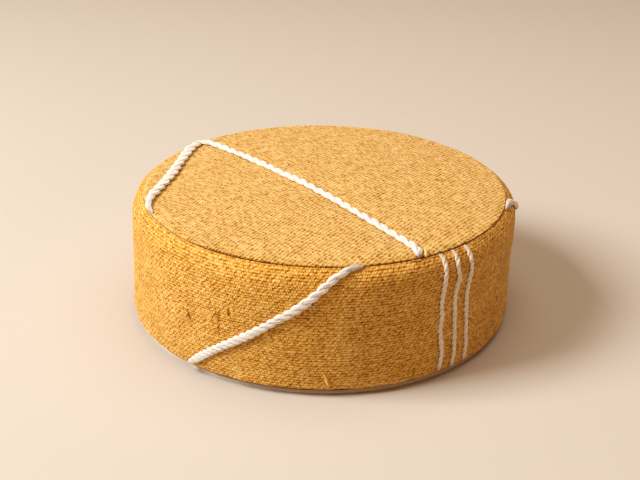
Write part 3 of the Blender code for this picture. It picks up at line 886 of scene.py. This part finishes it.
# Upright cords
# Three two-ply cords of the same white wool, twisted by hand and sewn upright on the front right,
# about 26 mm apart and as wavy as the sewing left them.
CORD_ROUTES = {
    # angle degrees, height mm
    "side_cord_1": (
        (-56.4, 192.5),
        (-55.9, 188.2),
        (-55.8, 181.0),
        (-55.7, 172.0),
        (-55.9, 161.0),
        (-56.2, 146.0),
        (-56.6, 129.5),
        (-56.4, 114.0),
        (-56.1, 102.0),
        (-56.4, 83.0),
        (-56.1, 68.0),
        (-55.7, 56.0),
        (-55.4, 44.0),
        (-55.6, 31.5),
        (-56.2, 15.5),
    ),
    "side_cord_2": (
        (-51.8, 192.5),
        (-51.4, 188.0),
        (-51.4, 179.0),
        (-51.4, 168.0),
        (-50.9, 156.5),
        (-51.4, 145.5),
        (-51.9, 133.0),
        (-51.9, 118.6),
        (-51.4, 103.0),
        (-51.3, 85.0),
        (-51.0, 65.0),
        (-50.9, 48.0),
        (-50.8, 37.0),
        (-51.1, 26.0),
        (-51.6, 14.6),
    ),
    "side_cord_3": (
        (-46.6, 192.5),
        (-46.4, 188.0),
        (-46.4, 178.0),
        (-46.1, 166.5),
        (-46.3, 154.0),
        (-46.8, 142.5),
        (-47.2, 128.0),
        (-46.9, 110.0),
        (-46.6, 90.0),
        (-46.4, 68.0),
        (-46.2, 50.0),
        (-46.1, 38.0),
        (-46.3, 27.0),
        (-46.9, 15.3),
    ),
}
CORD = {"strands": 2, "period": 19 * MM, "swing": 1.25 * MM, "rise": 0.9 * MM,
        "half_width": 2.5 * MM, "half_height": 2.1 * MM, "middle": 2.5 * MM, "step": 1.0 * MM,
        "sides": 16, "yarns": 3, "twist": 30 * MM, "groove": 0.16}

cord_wool = spun_wool("undyed_cord_wool", "#D6C8B0", "#F8EEDC", "#FFFAF0")
for node_name, rows in CORD_ROUTES.items():
    cord = make_trim(node_name + "_twist", seat_surface, side_route(rows), CORD, cord_wool, (7 * MM, 4 * MM))
    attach(cord, "root")
    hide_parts(node_name)
    trims.append(cord)

# Loose yarn ends
# Short ends and wisps of yarn that stand out of the cloth and its trim: a pale yellow tuft and an
# orange end beside the top plait, a golden end at the front foot, and white wisps from the trim.
YARN_END = {"strands": 1, "period": 30 * MM, "swing": 0.0, "rise": 0.0, "half_width": 1.2 * MM,
            "half_height": 1.0 * MM, "middle": 1.3 * MM, "step": 0.6 * MM, "sides": 10, "yarns": 2,
            "twist": 9 * MM, "groove": 0.2}
YARN_TUFT = {**YARN_END, "half_width": 2.7 * MM, "half_height": 2.2 * MM, "middle": 2.2 * MM,
             "sides": 20, "yarns": 5, "twist": 40 * MM}
WISP = {**YARN_END, "half_width": 0.5 * MM, "half_height": 0.4 * MM, "middle": 3.0 * MM, "yarns": 1}

yellow_wool = spun_wool("pale_yellow_wool", "#C8A048", "#EBCB74", "#F8E4A0")
orange_wool = spun_wool("orange_wool", "#A85A1C", "#D68A48", "#EBA868")
golden_wool = spun_wool("golden_wool", "#B87C1E", "#E8B04C", "#F8D078")
yarn_ends = (
    # name, surface, route, kind, material, tapers
    ("yellow_tuft", top_surface, np.array(((136.8, -232.5), (137.6, -238.5), (136.4, -245.5))) * MM,
     YARN_TUFT, yellow_wool, (4 * MM, 3 * MM)),
    ("orange_yarn_end", seat_surface, side_route(((-65.2, 193.0), (-64.0, 191.5), (-62.6, 191.2))),
     YARN_END, orange_wool, (3 * MM, 3 * MM)),
    ("golden_yarn_end", seat_surface,
     side_route(((-89.3, 39.5), (-88.6, 33.5), (-88.2, 26.0), (-87.4, 17.5))),
     {**YARN_TUFT, "half_width": 2.2 * MM, "half_height": 1.6 * MM, "middle": 1.9 * MM}, golden_wool,
     (9 * MM, 6 * MM)),
    ("front_wisp", seat_surface, side_route(((-93.6, 148.5), (-92.8, 144.0), (-91.8, 140.0))),
     WISP, plait_wool, (3 * MM, 3 * MM)),
    ("cord_wisp", seat_surface, side_route(((-45.0, 84.0), (-44.0, 79.5), (-43.4, 73.5))),
     WISP, plait_wool, (3 * MM, 3 * MM)),
)
for name, surface, route, kind, material, ends in yarn_ends:
    yarn_end = make_trim(name, surface, route, kind, material, ends)
    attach(yarn_end, "root")
    trims.append(yarn_end)

# Stuffing
# The stuffing presses the cloth outward while the seam, the foot and the stitches under every trim
# hold it back. A cloth simulation of the whole cover finds where it rises and where it is drawn in.
COVER_COLUMNS = 150
COVER_SIDE_ROWS = 17
COVER_TOP_RINGS = 23
COVER_MIDDLE = 12 * MM
COVER_TOP_FROM = 186 * MM
STUFFING_PRESSURE = 4.0
STITCH_REACH = 8 * MM
PUCKER_LIMIT = 2.5 * MM
SIMULATED_FRAMES = 20


def cover_profile():
    """The cover's outline from the foot over the seam to the middle of the top: radius and height."""
    run = np.linspace(0.0, side_run[-1], COVER_SIDE_ROWS)
    ring = np.linspace(TOP_PANEL_RADIUS - EDGE_ROLL_WIDTH, COVER_MIDDLE, COVER_TOP_RINGS)
    radius = np.concatenate((np.interp(run, side_run, side_curve[:, 0]), ring))
    height = np.concatenate((np.interp(run, side_run, side_curve[:, 1]), crown_height(ring)))
    return radius, height


def simulated_lift(stitches):
    """How far each point of a coarse cover moves under pressure from inside, and which way.

    Rows are those of cover_profile and columns go round. The movement along the normal is kept
    within PUCKER_LIMIT, and each row's mean is taken off, so that the pouf keeps its outline.
    """
    radius, height = cover_profile()
    angle = np.linspace(0.0, 2 * math.pi, COVER_COLUMNS, endpoint=False)
    start = stuffed(angle[None, :], radius[:, None], height[:, None])
    rows, columns = start.shape[:2]
    mesh = bpy.data.meshes.new("cover")
    ends = [list(range(columns))[::-1], list(range((rows - 1) * columns, rows * columns))]
    mesh.from_pydata(start.reshape(-1, 3).tolist(), [], ring_faces(rows, columns).tolist() + ends)
    cover = bpy.data.objects.new("cover", mesh)
    bpy.context.scene.collection.objects.link(cover)
    gap = np.linalg.norm(start.reshape(-1, 1, 3) - stitches[None, :, :], axis=-1).min(axis=1)
    held = (gap < STITCH_REACH).reshape(rows, columns)
    held[[0, COVER_SIDE_ROWS - 1, -1]] = True
    cover.vertex_groups.new(name="held").add(np.flatnonzero(held).tolist(), 1.0, "REPLACE")
    cloth = cover.modifiers.new("stuffing", "CLOTH").settings
    cloth.use_pressure = True
    cloth.uniform_pressure_force = STUFFING_PRESSURE
    cloth.effector_weights.gravity = 0.0
    cloth.vertex_group_mass = "held"
    for frame in range(1, SIMULATED_FRAMES + 1):
        bpy.context.scene.frame_set(frame)
    shape = cover.evaluated_get(bpy.context.evaluated_depsgraph_get()).data
    end = np.empty(3 * len(shape.vertices))
    shape.vertices.foreach_get("co", end)
    bpy.context.scene.frame_set(1)
    bpy.data.objects.remove(cover)
    bpy.data.meshes.remove(mesh)
    along = np.gradient(start, axis=0)
    around = np.roll(start, -1, axis=1) - np.roll(start, 1, axis=1)
    normal = np.cross(around, along)
    normal /= np.linalg.norm(normal, axis=-1, keepdims=True)
    lift = np.sum((end.reshape(start.shape) - start) * normal, axis=-1)
    lift = np.clip(lift, -PUCKER_LIMIT, PUCKER_LIMIT)
    lift -= lift.mean(axis=1, keepdims=True)
    return lift[..., None] * normal


def press_out(piece, lift):
    """Move a piece's points by the lift of the cover at their place, blended between its points."""
    points = np.empty(3 * len(piece.data.vertices))
    piece.data.vertices.foreach_get("co", points)
    points = points.reshape(-1, 3)
    rise = np.clip(points[:, 2] / SEAM_HEIGHT, 0.0, 1.0)[:, None]
    from_middle = points[:, :2] - FOOT_CENTRE - LEAN * rise
    radius, height = cover_profile()
    reach = np.linalg.norm(from_middle, axis=1)
    side, top = np.arange(COVER_SIDE_ROWS), np.arange(COVER_SIDE_ROWS - 1, len(radius))
    on_side = np.interp(points[:, 2], height[side], side)
    ring_radius = np.concatenate(((TOP_PANEL_RADIUS,), radius[COVER_SIDE_ROWS:]))
    on_top = np.interp(-reach, -ring_radius, top)
    row = np.where((points[:, 2] > COVER_TOP_FROM) & (reach < TOP_PANEL_RADIUS), on_top, on_side)
    column = np.arctan2(from_middle[:, 1], from_middle[:, 0]) / (2 * math.pi) * COVER_COLUMNS
    i = np.clip(np.floor(row).astype(int), 0, len(radius) - 2)
    j = np.floor(column).astype(int)
    s, t = (row - i)[:, None], (column - j)[:, None]
    j, after = j % COVER_COLUMNS, (j + 1) % COVER_COLUMNS
    points += ((1 - s) * ((1 - t) * lift[i, j] + t * lift[i, after])
               + s * ((1 - t) * lift[i + 1, j] + t * lift[i + 1, after]))
    piece.data.vertices.foreach_set("co", points.ravel())
    piece.data.update()


trim_seats = [surface(smooth_line(route)) for surface, route, _, _, _ in plait_routes.values()]
trim_seats += [seat_surface(smooth_line(side_route(rows))) for rows in CORD_ROUTES.values()]
lift = simulated_lift(np.concatenate(trim_seats))
for piece in [side_band, top_panel, *trims]:
    press_out(piece, lift)

# Floor and light
# A plain pale floor under a soft window light from high on the left, a weak warm light straight
# above on the right, and a warm pale room all round that fills the shade.
FLOOR_SIZE = 14.0

floor_mesh = bpy.data.meshes.new("floor")
half_floor = FLOOR_SIZE / 2
floor_mesh.from_pydata([(-half_floor, -half_floor, 0.0), (half_floor, -half_floor, 0.0),
                        (half_floor, half_floor, 0.0), (-half_floor, half_floor, 0.0)], [], [(0, 1, 2, 3)])
floor = bpy.data.objects.new("floor", floor_mesh)
bpy.context.scene.collection.objects.link(floor)
plain_floor = bpy.data.materials.new("matt_cream_floor")
plain_floor.use_nodes = True
plain_floor.node_tree.nodes["Principled BSDF"].inputs["Base Color"].default_value = linear("#CCC8C0")
plain_floor.node_tree.nodes["Principled BSDF"].inputs["Roughness"].default_value = 0.9
floor_mesh.materials.append(plain_floor)


def soft_light(name, place, aim, size, power, colour):
    """A square area light at a place, turned to shine at a point."""
    data = bpy.data.lights.new(name, "AREA")
    data.shape = "SQUARE"
    data.size = size
    data.energy = power
    data.color = colour
    light = bpy.data.objects.new(name, data)
    light.location = place
    toward = np.array(aim, dtype=float) - np.array(place)
    tilt = math.atan2(math.hypot(toward[0], toward[1]), -toward[2])
    light.rotation_euler = (tilt, 0.0, math.atan2(toward[1], toward[0]) - math.pi / 2)
    bpy.context.scene.collection.objects.link(light)
    return light


soft_light("window", (-4.2, -0.9, 3.9), (0.0, 0.0, 0.1), 2.4, 335.0, (1.0, 0.995, 0.985))
soft_light("ceiling", (0.9, 0.2, 3.2), (0.9, 0.2, 0.0), 3.2, 38.0, (1.0, 0.92, 0.82))
world = bpy.data.worlds.new("pale_room")
world.use_nodes = True
world.node_tree.nodes["Background"].inputs[0].default_value = linear("#FFC288")
world.node_tree.nodes["Background"].inputs[1].default_value = 0.30
bpy.context.scene.world = world
bpy.context.scene.view_settings.view_transform = "Standard"
bpy.context.scene.view_settings.look = "Medium High Contrast"
